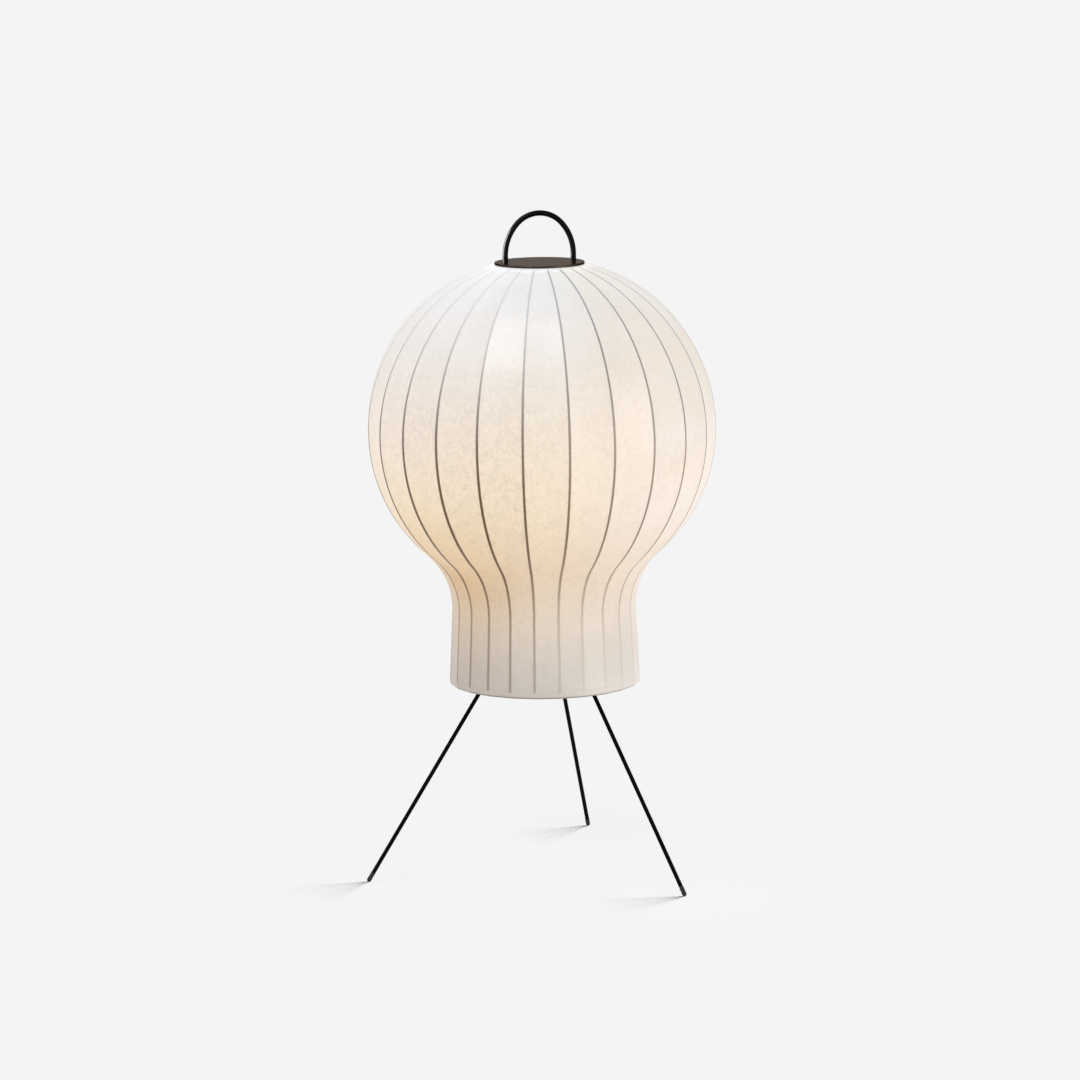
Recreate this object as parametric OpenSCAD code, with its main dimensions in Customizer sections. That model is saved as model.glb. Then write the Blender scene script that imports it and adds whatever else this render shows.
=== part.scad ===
// Silk lantern floor lamp: a silk covered wire lantern with a carrying handle, on three splayed rods.
// Millimetres, +Z up. The origin is on the floor under the middle of the lamp.
// The handle stands in the XZ plane and one leg points along -X.

/* [Silk lantern] */
// Largest radius of the balloon, over the silk at a rib
balloon_r = 252.5; // [235:0.5:270]
// Radius of the balloon's outline, a little smaller so that the balloon is slightly flattened
balloon_curve_r = 242.5; // [230:0.5:252]
// Height of the balloon's widest part above the floor
balloon_z = 653.5; // [640:0.5:670]
// Radius of the hollow curve between the balloon and the neck
shoulder_r = 103; // [85:1:120]
// Radius of the neck at its mouth, over the silk at a rib
mouth_r = 139.5; // [130:0.5:150]
// Height of the neck's lower edge above the floor
mouth_z = 279; // [255:1:300]
// Angle by which the neck widens towards its mouth
neck_flare = 3; // [1:0.1:4.5]
// Radius of the rounded hem at the mouth
hem_r = 4; // [3.5:0.1:5]
// Thickness of the stiffened silk
silk_t = 0.6; // [0.4:0.1:0.8]
// Space left between the rib wires and the silk
silk_gap = 0.7; // [0.6:0.05:1]
// How far the silk is tucked in under the top plate
silk_tuck = 1; // [0.5:0.1:3]

/* [Wire frame] */
// Number of rib wires
rib_count = 24; // [20:1:26]
// Diameter of a rib wire
rib_d = 2; // [1.6:0.1:2.6]
// Depth to which a wire is welded into a ring
weld = 0.5; // [0.3:0.05:0.8]
// Outer radius of the flat ring at the top of the ribs
top_ring_r = 62.5; // [58:0.5:63]
// Radius of the opening in the top ring
top_ring_hole_r = 38; // [30:0.5:39]
// Thickness of the top ring
top_ring_t = 4; // [3.5:0.1:6]
// Wire diameter of the bottom ring
bottom_ring_d = 5; // [4:0.1:5.5]
// Distance from the mouth's silk to the middle of the bottom ring
bottom_ring_inset = 5; // [4.8:0.1:5.5]

/* [Top plate and handle] */
// Radius of the top plate
plate_r = 65; // [64:0.5:75]
// Thickness of the top plate
plate_t = 3; // [2:0.1:5]
// Chamfer on the plate's edge
plate_edge = 0.5; // [0.2:0.1:0.9]
// Diameter of the handle rod
handle_d = 8; // [7:0.1:10]
// Distance between the middles of the handle's two legs
handle_span = 102; // [98:0.5:106]
// Straight length of a handle leg above the plate
handle_rise = 10; // [5:0.5:20]
// Height of the handle's arch above its straight legs, to the middle of the rod
arch_h = 60; // [55:0.5:70]
// Radius of the arch at its crown
arch_crown_r = 45; // [38:0.5:46]
// Diameter of the threaded ends of the handle
stud_d = 6; // [5:0.1:6.6]
// Length of thread that stands out below a handle nut
stud_spare = 1.5; // [0.5:0.1:4]
// Height of a handle nut
handle_nut_h = 5; // [4:0.1:7]
// Width across the flats of a handle nut
handle_nut_af = 10; // [9:0.1:12]
// Thickness of a handle washer
washer_t = 1.2; // [0.8:0.1:2]
// Radius of a handle washer
washer_r = 6; // [5.5:0.1:7.5]

/* [Legs] */
// Radius of the circle on which the three legs stand
foot_r = 270; // [230:1:310]
// Diameter of a leg rod
leg_d = 6; // [5:0.1:8]
// Distance from the lamp's axis at which a leg enters the hub
leg_entry_r = 19.4; // [18.5:0.1:21]
// Depth of a leg's hole in the hub, along the leg
socket_depth = 15.5; // [10:0.1:17]
// Diameter of a rubber tip
tip_d = 6.4; // [6:0.1:9]
// Length of a rubber tip, from the middle of its round end
tip_h = 12; // [10:0.5:16]
// Diameter of the spigot that carries a tip
spigot_d = 4; // [3:0.1:4.4]
// Length of the spigot
spigot_h = 8; // [5:0.5:9]
// Depth of the flat worn on a tip where it stands on the floor
tip_flat = 0.6; // [0.5:0.1:1]

/* [Hub and wiring] */
// Height of the hub's underside above the floor
hub_z = 392; // [350:1:430]
// Radius of the hub
hub_r = 30; // [28:0.5:36]
// Height of the hub
hub_h = 24; // [20:0.5:30]
// Chamfer on the hub's edges
hub_edge = 1.5; // [0.5:0.1:3]
// Outer diameter of the threaded wiring tube
tube_d = 10; // [9:0.1:12]
// Bore of the wiring tube
tube_bore = 7.4; // [6:0.1:7.8]
// Height of the lock nut under the hub
lock_nut_h = 4; // [3:0.1:6]
// Width across the flats of the lock nut
lock_nut_af = 14; // [14:0.1:17]
// Radius of the cable gland
gland_r = 8; // [7.5:0.1:10]
// Height of the cable gland
gland_h = 18; // [15:0.5:24]
// Depth to which the wiring tube enters the gland
gland_grip = 8; // [5:0.5:9]
// Bore of the cable gland
cable_bore = 7; // [5:0.1:7]

/* [Lampholder] */
// Outer radius of the lampholder's cap
cap_r = 19.5; // [19:0.1:21]
// Height of the cap
cap_h = 20; // [18:0.5:26]
// Thickness of the cap's floor
cap_floor = 3; // [2:0.1:5]
// Wall of the cap and of the threaded skirt
holder_wall = 1.5; // [1:0.1:1.8]
// Radius of the collar that carries the lantern
collar_r = 25; // [24:0.1:27]
// Thickness of the collar
collar_t = 3; // [2:0.1:5]
// Outer radius of the threaded skirt
skirt_r = 20; // [19.6:0.1:21]
// Height of the skirt above the collar
skirt_h = 32; // [26:0.5:33]
// Height of the porcelain insert
insert_h = 18; // [15:0.5:18.5]
// Height of the insert's top above the collar's underside
insert_rise = 8; // [7:0.5:9.5]
// Wall of the brass screw shell
shell_wall = 0.8; // [0.5:0.1:1.2]
// Height of the screw shell above the insert
shell_h = 24; // [20:0.5:25]
// Thickness of the centre contact
contact_t = 1.5; // [1:0.1:2.5]
// Height of a terminal block
terminal_h = 7; // [5:0.1:7.5]

/* [Lantern carrier] */
// Outer radius of the carrier's fitting ring
fitter_r = 29; // [28:0.1:33]
// Thickness of the fitting ring
fitter_t = 2; // [1.5:0.1:4]
// Diameter of the three carrier arms
arm_d = 4; // [3:0.1:5]
// Outer radius of the shade ring that clamps the carrier
nut_r = 26; // [24:0.1:27]
// Height of the shade ring
nut_h = 8; // [6:0.5:12]
// Number of finger grooves round the shade ring
nut_grooves = 18; // [12:1:24]

/* [Bulb] */
// Largest radius of the bulb's glass
glass_r = 30; // [25:0.5:35]
// Overall length of the bulb with its screw cap
bulb_h = 107; // [95:1:120]
// Thickness of the glass
glass_t = 1; // [0.7:0.1:1.5]
// Outer radius of the screw cap over its threads
screw_r = 13.2; // [12.8:0.1:13.4]
// Depth of the screw thread
thread_h = 1.06; // [0.8:0.02:1.2]
// Pitch of the screw thread
thread_pitch = 3.62; // [3.2:0.01:4]

/* [Clearances] */
// Radial clearance of a rod, stud or tube in its hole
rod_fit = 0.05; // [0.03:0.01:0.1]
// Radial clearance between the shade ring and the threaded skirt
nut_fit = 0.1; // [0.05:0.01:0.15]
// Clearance between the bulb's screw cap and the screw shell
bulb_fit = 0.3; // [0.2:0.02:0.4]
// Space left between parts that only lie near each other
near_gap = 0.2; // [0.1:0.05:0.3]

/* [Hidden] */
$fn = 96;

// Rod-like pieces are drawn with this many sides
rod_sides = 24;

// Outline of the lantern, as points [distance from the axis, height]
neck_up = [-sin(neck_flare), cos(neck_flare)];
neck_out = [cos(neck_flare), sin(neck_flare)];
balloon_mid = [balloon_r - balloon_curve_r, balloon_z];
mouth_corner = [mouth_r, mouth_z + hem_r * (1 + sin(neck_flare))];
hem_mid = mouth_corner - hem_r * neck_out;

// The hollow curve touches both the neck's straight line and the balloon
curve_start = mouth_corner + shoulder_r * neck_out - balloon_mid;
curve_along = curve_start * neck_up;
curve_reach = balloon_curve_r + shoulder_r;
neck_length = -curve_along - sqrt(curve_along ^ 2 - curve_start * curve_start + curve_reach ^ 2);
shoulder_mid = mouth_corner + shoulder_r * neck_out + neck_length * neck_up;
join_angle = atan2(shoulder_mid.x - balloon_mid.x, shoulder_mid.y - balloon_mid.y);

// Places along the outline, at a depth below the silk's outer face; angles are from straight up
function balloon_point(depth, angle) =
    balloon_mid + (balloon_curve_r - depth) * [sin(angle), cos(angle)];
function shoulder_point(depth, angle) =
    shoulder_mid - (shoulder_r + depth) * [sin(angle), cos(angle)];
function neck_point(depth, share) =
    mouth_corner - depth * neck_out + (1 - share) * neck_length * neck_up;
function hem_point(depth, angle) =
    hem_mid + (hem_r - depth) * [sin(angle), cos(angle)];

// The silk's edge lies under the plate's rim
silk_top_angle = asin((plate_r - silk_tuck - balloon_mid.x) / balloon_curve_r);
neck_angle = 90 - neck_flare;
balloon_steps = 16;
shoulder_steps = 5;
neck_steps = 2;
hem_steps = 2;
function silk_outline(depth) = concat(
    [for (i = [0:balloon_steps])
        balloon_point(depth, silk_top_angle + (join_angle - silk_top_angle) * i / balloon_steps)],
    [for (i = [1:shoulder_steps])
        shoulder_point(depth, join_angle + (neck_angle - join_angle) * i / shoulder_steps)],
    [for (i = [1:neck_steps])
        neck_point(depth, i / neck_steps)],
    [for (i = [1:hem_steps])
        hem_point(depth, neck_angle + (180 - neck_angle) * i / hem_steps)]
);

// The silk is stretched flat from each rib to the next
rib_step = 360 / rib_count;
function rib_angle(k) = (k + 0.5) * rib_step;
silk_rows = balloon_steps + shoulder_steps + neck_steps + hem_steps + 1;
silk_layers = [silk_outline(0), silk_outline(silk_t)];
silk_points = [
    for (layer = silk_layers, point = layer, k = [0:rib_count - 1])
        [point.x * cos(rib_angle(k)), point.x * sin(rib_angle(k)), point.y]
];
function silk_index(layer, row, k) = (layer * silk_rows + row) * rib_count + k % rib_count;
function two_triangles(a, b, c, d) = [[a, b, c], [a, c, d]];
silk_faces = [
    for (row = [0:silk_rows - 2], k = [0:rib_count - 1])
        each concat(
            two_triangles(silk_index(0, row, k), silk_index(0, row, k + 1),
                silk_index(0, row + 1, k + 1), silk_index(0, row + 1, k)),
            two_triangles(silk_index(1, row, k), silk_index(1, row + 1, k),
                silk_index(1, row + 1, k + 1), silk_index(1, row, k + 1))
        ),
    for (k = [0:rib_count - 1])
        each concat(
            two_triangles(silk_index(0, 0, k), silk_index(1, 0, k),
                silk_index(1, 0, k + 1), silk_index(0, 0, k + 1)),
            two_triangles(silk_index(0, silk_rows - 1, k), silk_index(0, silk_rows - 1, k + 1),
                silk_index(1, silk_rows - 1, k + 1), silk_index(1, silk_rows - 1, k))
        )
];

// Ribs run inside the silk from the top ring to the bottom ring
rib_depth = silk_t + silk_gap + rib_d / 2;
rib_top_angle = asin((top_ring_r - weld - balloon_mid.x) / (balloon_curve_r - rib_depth));
bottom_ring_z = mouth_corner.y;
bottom_ring_mid = mouth_r - bottom_ring_inset;
rib_neck_top = neck_point(rib_depth, 0);
rib_neck_length = (rib_neck_top.y - bottom_ring_z) / cos(neck_flare);

// The plate's underside clears the silk that is tucked in below it
plate_z = balloon_point(0, silk_top_angle).y + near_gap;
stud_h = plate_t + top_ring_t + washer_t + handle_nut_h + stud_spare;

// A leg runs from the middle of its tip's round end to its hole in the hub
tip_mid_z = tip_d / 2 - tip_flat;
leg_lean = atan2(foot_r - leg_entry_r, hub_z - tip_mid_z);
leg_run = (hub_z - tip_mid_z) / cos(leg_lean);
leg_angles = [60, 180, 300];

// Heights in the stack above the hub
hub_top = hub_z + hub_h;
collar_z = hub_top + cap_h;
collar_top = collar_z + collar_t;
fitter_z = collar_top;
fitter_top = fitter_z + fitter_t;
insert_top = collar_z + insert_rise;
insert_z = insert_top - insert_h;
insert_r = min(cap_r, skirt_r) - holder_wall - near_gap;
gland_top = hub_z - lock_nut_h;
gland_z = gland_top - gland_h;
tube_bottom = gland_top - gland_grip;
tube_spare = 1;
tube_top = hub_top + cap_floor + tube_spare;

// A cut runs this far past the faces that it opens
past = 1;

// A bent wire's runs stop this far short of a bend, where a ball joins them
bend_trim = 0.05;

// Small details of the moulded and turned pieces
nut_edge = 0.8;
nut_groove_r = 1.2;
nut_groove_depth = 0.8;
gland_edge = 1;
terminal_x = 9;
terminal_w = 7;
terminal_screw_r = 1.5;
terminal_head_h = 1.5;
terminal_screw_short = 1;

// The bulb's own heights are counted from the tip of its contact
bulb_z = insert_top + contact_t + near_gap;
bulb_contact_h = 1.5;
bulb_contact_r = 4.5;
bulb_contact_edge = 0.4;
bulb_insulator_h = 3.5;
insulator_step = 1;
bulb_cap_z = bulb_contact_h + bulb_insulator_h;
thread_turns = 5;
bulb_thread_top = bulb_cap_z + thread_turns * thread_pitch;
bulb_cap_plain = 3;
bulb_cap_top = bulb_thread_top + bulb_cap_plain;
bulb_cap_wall = 0.5;
bulb_cap_floor = 1;
glass_seat = 4;
glass_foot_z = bulb_cap_z + glass_seat;
glass_cone_angle = 24;
glass_neck_r = screw_r - thread_h - bulb_cap_wall - near_gap;
glass_mid = bulb_h - glass_r;
stem_h = 30;
stem_top_r = 2.5;
stem_hole_r = 2;
stem_hole_h = 1;
filament_r = 9;
filament_d = 0.8;

// The filament's loop is open below, where its two lead wires stand side by side
lead_x = 1.2;
lead_h = 8;
lead_angle = asin(lead_x / filament_r);

// Height of the thread's rings at a distance along the cap
function thread_r(s) = screw_r - thread_h / 2 + thread_h / 2 * cos(360 * s);
thread_points = 8;
function thread_outline(gap, low) = [
    for (i = [0:thread_turns * thread_points])
        [thread_r(i / thread_points) + gap, low + i / thread_points * thread_pitch]
];

// A disc with both edges chamfered
module chamfered_disc(r, h, edge) {
    rotate_extrude()
        polygon([[0, 0], [r - edge, 0], [r, edge], [r, h - edge], [r - edge, h], [0, h]]);
}

// A flat ring
module ring(outer, inner, h) {
    difference() {
        cylinder(r = outer, h = h);
        translate([0, 0, -past])
            cylinder(r = inner, h = h + 2 * past);
    }
}

// A six-sided nut
module hex_nut(across, bore_r, h) {
    difference() {
        cylinder(d = across / cos(30), h = h, $fn = 6);
        translate([0, 0, -past])
            cylinder(r = bore_r, h = h + 2 * past, $fn = rod_sides);
    }
}

// Part of a ring of round wire, in the XZ plane; angles are from +X towards +Z
module wire_arc(mid_r, wire_d, from, to) {
    rotate([90, 0, 0])
        rotate([0, 0, from])
            rotate_extrude(angle = to - from)
                translate([mid_r, 0])
                    circle(d = wire_d, $fn = rod_sides);
}

// Puts the same thing at both handle legs
module at_handle_legs() {
    for (side = [-1, 1])
        translate([side * handle_span / 2, 0, 0])
            children();
}

module top_plate() {
    color("#463c36")
        translate([0, 0, plate_z])
            difference() {
                chamfered_disc(plate_r, plate_t, plate_edge);
                at_handle_legs()
                    translate([0, 0, -past])
                        cylinder(r = stud_d / 2 + rod_fit, h = plate_t + 2 * past, $fn = rod_sides);
            }
}

// The arch is a crown arc between two flank arcs of a larger radius. Each run of the rod stops just short
// of the next, and a ball of rod joins them there
module handle() {
    half_span = handle_span / 2;
    crown_z = arch_h - arch_crown_r;
    flank_r = (half_span ^ 2 + crown_z ^ 2 - arch_crown_r ^ 2) / (2 * (half_span - arch_crown_r));
    bend_angle = atan2(crown_z, flank_r - half_span);
    crown_trim = asin(bend_trim / arch_crown_r);
    flank_trim = asin(bend_trim / flank_r);
    bends = [[half_span, 0], arch_crown_r * [cos(bend_angle), sin(bend_angle)] + [0, crown_z]];
    color("#171514")
        translate([0, 0, plate_z + plate_t]) {
            translate([0, 0, handle_rise]) {
                translate([0, 0, crown_z])
                    wire_arc(arch_crown_r, handle_d, bend_angle + crown_trim, 180 - bend_angle - crown_trim);
                translate([half_span - flank_r, 0, 0])
                    wire_arc(flank_r, handle_d, flank_trim, bend_angle - flank_trim);
                translate([flank_r - half_span, 0, 0])
                    wire_arc(flank_r, handle_d, 180 - bend_angle + flank_trim, 180 - flank_trim);
                for (side = [-1, 1], bend = bends)
                    translate([side * bend.x, 0, bend.y])
                        sphere(d = handle_d + bend_trim, $fn = rod_sides);
            }
            at_handle_legs() {
                cylinder(d = handle_d, h = handle_rise - bend_trim, $fn = rod_sides);
                translate([0, 0, -stud_h])
                    cylinder(d = stud_d, h = stud_h, $fn = rod_sides);
            }
        }
}

module handle_washers() {
    color("#8d8f92")
        translate([0, 0, plate_z - top_ring_t - washer_t])
            at_handle_legs()
                ring(washer_r, stud_d / 2 + rod_fit, washer_t, $fn = rod_sides);
}

module handle_nuts() {
    color("#8d8f92")
        translate([0, 0, plate_z - top_ring_t - washer_t - handle_nut_h])
            at_handle_legs()
                hex_nut(handle_nut_af, stud_d / 2 + rod_fit, handle_nut_h);
}

module top_ring() {
    color("#3a322d")
        translate([0, 0, plate_z - top_ring_t])
            difference() {
                ring(top_ring_r, top_ring_hole_r, top_ring_t);
                at_handle_legs()
                    translate([0, 0, -past])
                        cylinder(r = stud_d / 2 + rod_fit, h = top_ring_t + 2 * past, $fn = rod_sides);
            }
}

// One rib wire, in the XZ plane: its runs stop just short of each bend, and a ball of wire joins them there
module rib() {
    ball_mid = balloon_curve_r - rib_depth;
    curve_mid = shoulder_r + rib_depth;
    ball_trim = asin(bend_trim / ball_mid);
    curve_trim = asin(bend_trim / curve_mid);
    translate([balloon_mid.x, 0, balloon_mid.y])
        wire_arc(ball_mid, rib_d, 90 - join_angle + ball_trim, 90 - rib_top_angle);
    translate([shoulder_mid.x, 0, shoulder_mid.y])
        wire_arc(curve_mid, rib_d, 270 - join_angle + curve_trim, 270 - neck_angle - curve_trim);
    translate([rib_neck_top.x, 0, rib_neck_top.y])
        rotate([0, 180 - neck_flare, 0])
            translate([0, 0, bend_trim])
                cylinder(d = rib_d, h = rib_neck_length - bend_trim, $fn = rod_sides);
    for (bend = [balloon_point(rib_depth, join_angle), rib_neck_top])
        translate([bend.x, 0, bend.y])
            sphere(d = rib_d + bend_trim, $fn = rod_sides);
}

module shade_ribs() {
    color("#6b5a4c")
        for (k = [0:rib_count - 1])
            rotate([0, 0, rib_angle(k)])
                rib();
}

module bottom_ring() {
    color("#3a322d")
        translate([0, 0, bottom_ring_z])
            rotate_extrude()
                translate([bottom_ring_mid, 0])
                    circle(d = bottom_ring_d, $fn = rod_sides);
}

module silk_cover() {
    color("#f3eadb")
        polyhedron(points = silk_points, faces = silk_faces, convexity = 8);
}

// The arms slope from the fitting ring down to the bottom ring
arm_top = [fitter_r + arm_d / 2 - 2 * weld, fitter_z + fitter_t / 2];
arm_foot = [bottom_ring_mid - bottom_ring_d / 2 + weld, bottom_ring_z];
arm_run = arm_foot - arm_top;
module fitter_arms() {
    color("#3a322d")
        for (k = [0:2])
            rotate([0, 0, 120 * k])
                translate([arm_top.x, 0, arm_top.y])
                    rotate([0, atan2(arm_run.x, arm_run.y), 0])
                        cylinder(d = arm_d, h = norm(arm_run), $fn = rod_sides);
}

module fitter_ring() {
    color("#3a322d")
        translate([0, 0, fitter_z])
            ring(fitter_r, skirt_r + near_gap, fitter_t);
}

module shade_ring() {
    color("#1d1c1b")
        translate([0, 0, fitter_top + near_gap])
            difference() {
                chamfered_disc(nut_r, nut_h, nut_edge);
                translate([0, 0, -past])
                    cylinder(r = skirt_r + nut_fit, h = nut_h + 2 * past);
                for (k = [0:nut_grooves - 1])
                    rotate([0, 0, k * 360 / nut_grooves])
                        translate([nut_r + nut_groove_r - nut_groove_depth, 0, -past])
                            cylinder(r = nut_groove_r, h = nut_h + 2 * past, $fn = rod_sides);
            }
}

module holder_cap() {
    color("#1d1c1b")
        translate([0, 0, hub_top])
            difference() {
                cylinder(r = cap_r, h = cap_h);
                translate([0, 0, cap_floor])
                    cylinder(r = cap_r - holder_wall, h = cap_h);
                translate([0, 0, -past])
                    cylinder(r = tube_d / 2 + rod_fit, h = cap_floor + 2 * past, $fn = rod_sides);
            }
}

module holder_body() {
    color("#1d1c1b")
        translate([0, 0, collar_z])
            difference() {
                union() {
                    cylinder(r = collar_r, h = collar_t);
                    cylinder(r = skirt_r, h = collar_t + skirt_h);
                }
                translate([0, 0, -past])
                    cylinder(r = skirt_r - holder_wall, h = collar_t + skirt_h + 2 * past);
            }
}

module holder_insert() {
    color("#eceae4")
        translate([0, 0, insert_z])
            cylinder(r = insert_r, h = insert_h);
}

module screw_shell() {
    shell_r = screw_r + bulb_fit + shell_wall;
    color("#c9a65a")
        translate([0, 0, insert_top])
            rotate_extrude()
                polygon(concat(
                    [[shell_r, 0], [shell_r, shell_h], [screw_r + bulb_fit, shell_h]],
                    [for (i = [thread_turns * thread_points:-1:0])
                        thread_outline(bulb_fit, bulb_z + bulb_cap_z - insert_top)[i]],
                    [[screw_r + bulb_fit, 0]]
                ));
}

module centre_contact() {
    color("#c9a65a")
        translate([0, 0, insert_top])
            cylinder(r = bulb_contact_r + insulator_step, h = contact_t);
}

// Places of the two terminal blocks under the insert
module at_terminals() {
    for (side = [-1, 1])
        translate([side * terminal_x, 0, insert_z - terminal_h])
            children();
}

module terminal_blocks() {
    color("#c9a65a")
        at_terminals()
            difference() {
                translate([-terminal_w / 2, -terminal_w / 2, 0])
                    cube([terminal_w, terminal_w, terminal_h]);
                translate([0, 0, terminal_h / 2])
                    rotate([90, 0, 0])
                        translate([0, 0, -terminal_w])
                            cylinder(r = terminal_screw_r + rod_fit, h = 2 * terminal_w, $fn = rod_sides);
            }
}

module terminal_screws() {
    color("#8d8f92")
        at_terminals()
            translate([0, -terminal_w / 2, terminal_h / 2])
                rotate([90, 0, 0]) {
                    cylinder(r = 2 * terminal_screw_r, h = terminal_head_h, $fn = rod_sides);
                    translate([0, 0, terminal_screw_short - terminal_w])
                        cylinder(r = terminal_screw_r, h = terminal_w, $fn = rod_sides);
                }
}

module bulb_contact() {
    color("#b8bbbd")
        translate([0, 0, bulb_z])
            chamfered_disc(bulb_contact_r, bulb_contact_h, bulb_contact_edge);
}

module bulb_insulator() {
    color("#191919")
        translate([0, 0, bulb_z + bulb_contact_h])
            cylinder(r1 = bulb_contact_r + insulator_step, r2 = screw_r - thread_h - insulator_step,
                h = bulb_insulator_h);
}

module bulb_cap() {
    inner_r = screw_r - thread_h - bulb_cap_wall;
    floor_z = bulb_cap_z + bulb_cap_floor;
    color("#b8bbbd")
        translate([0, 0, bulb_z])
            rotate_extrude()
                polygon(concat(
                    [[0, bulb_cap_z], [screw_r - thread_h, bulb_cap_z]],
                    thread_outline(0, bulb_cap_z),
                    [[screw_r, bulb_cap_top], [inner_r, bulb_cap_top], [inner_r, floor_z], [0, floor_z]]
                ));
}

// The glass widens from its neck to a ball
module glass_outline(shrink) {
    translate([0, glass_mid])
        circle(r = glass_r - shrink);
    polygon([
        [0, glass_foot_z],
        [glass_neck_r - shrink, glass_foot_z],
        [glass_neck_r - shrink, bulb_cap_top],
        [glass_r * cos(glass_cone_angle) - shrink, glass_mid - glass_r * sin(glass_cone_angle)],
        [0, glass_mid]
    ]);
}

module bulb_glass() {
    color("#f6f3ea")
        translate([0, 0, bulb_z])
            rotate_extrude()
                intersection() {
                    difference() {
                        glass_outline(0);
                        glass_outline(glass_t);
                    }
                    square([2 * glass_r, bulb_h + past]);
                }
}

module bulb_stem() {
    color("#dfe7e6")
        translate([0, 0, bulb_z + glass_foot_z])
            difference() {
                cylinder(r1 = glass_neck_r - glass_t - near_gap, r2 = stem_top_r, h = stem_h);
                translate([0, 0, stem_h - stem_hole_h])
                    cylinder(r = stem_hole_r, h = stem_hole_h + past, $fn = rod_sides);
            }
}

module bulb_filament() {
    color("#8d8f92")
        translate([0, 0, bulb_z + glass_foot_z + stem_h - stem_hole_h]) {
            translate([0, 0, lead_h + filament_r * cos(lead_angle)])
                wire_arc(filament_r, filament_d, lead_angle - 90, 270 - lead_angle);
            for (side = [-1, 1])
                translate([side * lead_x, 0, 0]) {
                    cylinder(d = filament_d, h = lead_h, $fn = rod_sides);
                    translate([0, 0, lead_h])
                        sphere(d = filament_d + bend_trim, $fn = rod_sides);
                }
        }
}

// Puts a thing at one leg, with its own +Z up along the leg from the middle of the tip's round end
module along_leg(angle) {
    rotate([0, 0, angle])
        translate([foot_r, 0, tip_mid_z])
            rotate([0, -leg_lean, 0])
                children();
}

module hub() {
    color("#1d1c1b")
        difference() {
            translate([0, 0, hub_z])
                chamfered_disc(hub_r, hub_h, hub_edge);
            translate([0, 0, hub_z - past])
                cylinder(r = tube_d / 2 + rod_fit, h = hub_h + 2 * past, $fn = rod_sides);
            for (angle = leg_angles)
                along_leg(angle)
                    translate([0, 0, leg_run - leg_d])
                        cylinder(r = leg_d / 2 + rod_fit, h = leg_d + socket_depth, $fn = rod_sides);
        }
}

module leg(angle) {
    color("#131211")
        along_leg(angle) {
            translate([0, 0, tip_h])
                cylinder(d = leg_d, h = leg_run + socket_depth - near_gap - tip_h, $fn = rod_sides);
            translate([0, 0, tip_h - spigot_h])
                cylinder(d = spigot_d, h = spigot_h, $fn = rod_sides);
        }
}

module leg_tip(angle) {
    color("#1a1a1a")
        difference() {
            along_leg(angle)
                rotate_extrude($fn = rod_sides)
                    intersection() {
                        union() {
                            circle(d = tip_d, $fn = 4 * rod_sides);
                            square([tip_d / 2, tip_h]);
                        }
                        translate([0, -tip_d])
                            square([tip_d, tip_h + tip_d]);
                    }
            along_leg(angle)
                translate([0, 0, tip_h - spigot_h - near_gap])
                    cylinder(r = spigot_d / 2 + rod_fit, h = spigot_h + tip_h, $fn = rod_sides);
            rotate([0, 0, angle])
                translate([foot_r - tip_d, -tip_d, -tip_d])
                    cube([2 * tip_d, 2 * tip_d, tip_d]);
        }
}

module wiring_tube() {
    color("#b8bbbd")
        translate([0, 0, tube_bottom])
            ring(tube_d / 2, tube_bore / 2, tube_top - tube_bottom, $fn = 2 * rod_sides);
}

module lock_nut() {
    color("#8d8f92")
        translate([0, 0, gland_top])
            hex_nut(lock_nut_af, tube_d / 2 + rod_fit, lock_nut_h);
}

module cable_gland() {
    color("#1d1c1b")
        translate([0, 0, gland_z])
            difference() {
                chamfered_disc(gland_r, gland_h, gland_edge);
                translate([0, 0, -past])
                    cylinder(d = cable_bore, h = gland_h + 2 * past, $fn = 2 * rod_sides);
                translate([0, 0, gland_h - gland_grip - near_gap])
                    cylinder(r = tube_d / 2 + rod_fit, h = gland_h, $fn = 2 * rod_sides);
            }
}

top_plate();
handle();
handle_washers();
handle_nuts();
top_ring();
shade_ribs();
bottom_ring();
silk_cover();
fitter_arms();
fitter_ring();
shade_ring();
holder_cap();
holder_body();
holder_insert();
screw_shell();
centre_contact();
terminal_blocks();
terminal_screws();
bulb_contact();
bulb_insulator();
bulb_cap();
bulb_glass();
bulb_stem();
bulb_filament();
hub();
wiring_tube();
lock_nut();
cable_gland();
leg(leg_angles[0]);  // leg_1
leg(leg_angles[1]);  // leg_2
leg(leg_angles[2]);  // leg_3
leg_tip(leg_angles[0]);  // leg_tip_1
leg_tip(leg_angles[1]);  // leg_tip_2
leg_tip(leg_angles[2]);  // leg_tip_3
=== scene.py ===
import math

import bpy
from mathutils import Matrix, Vector, noise


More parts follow.
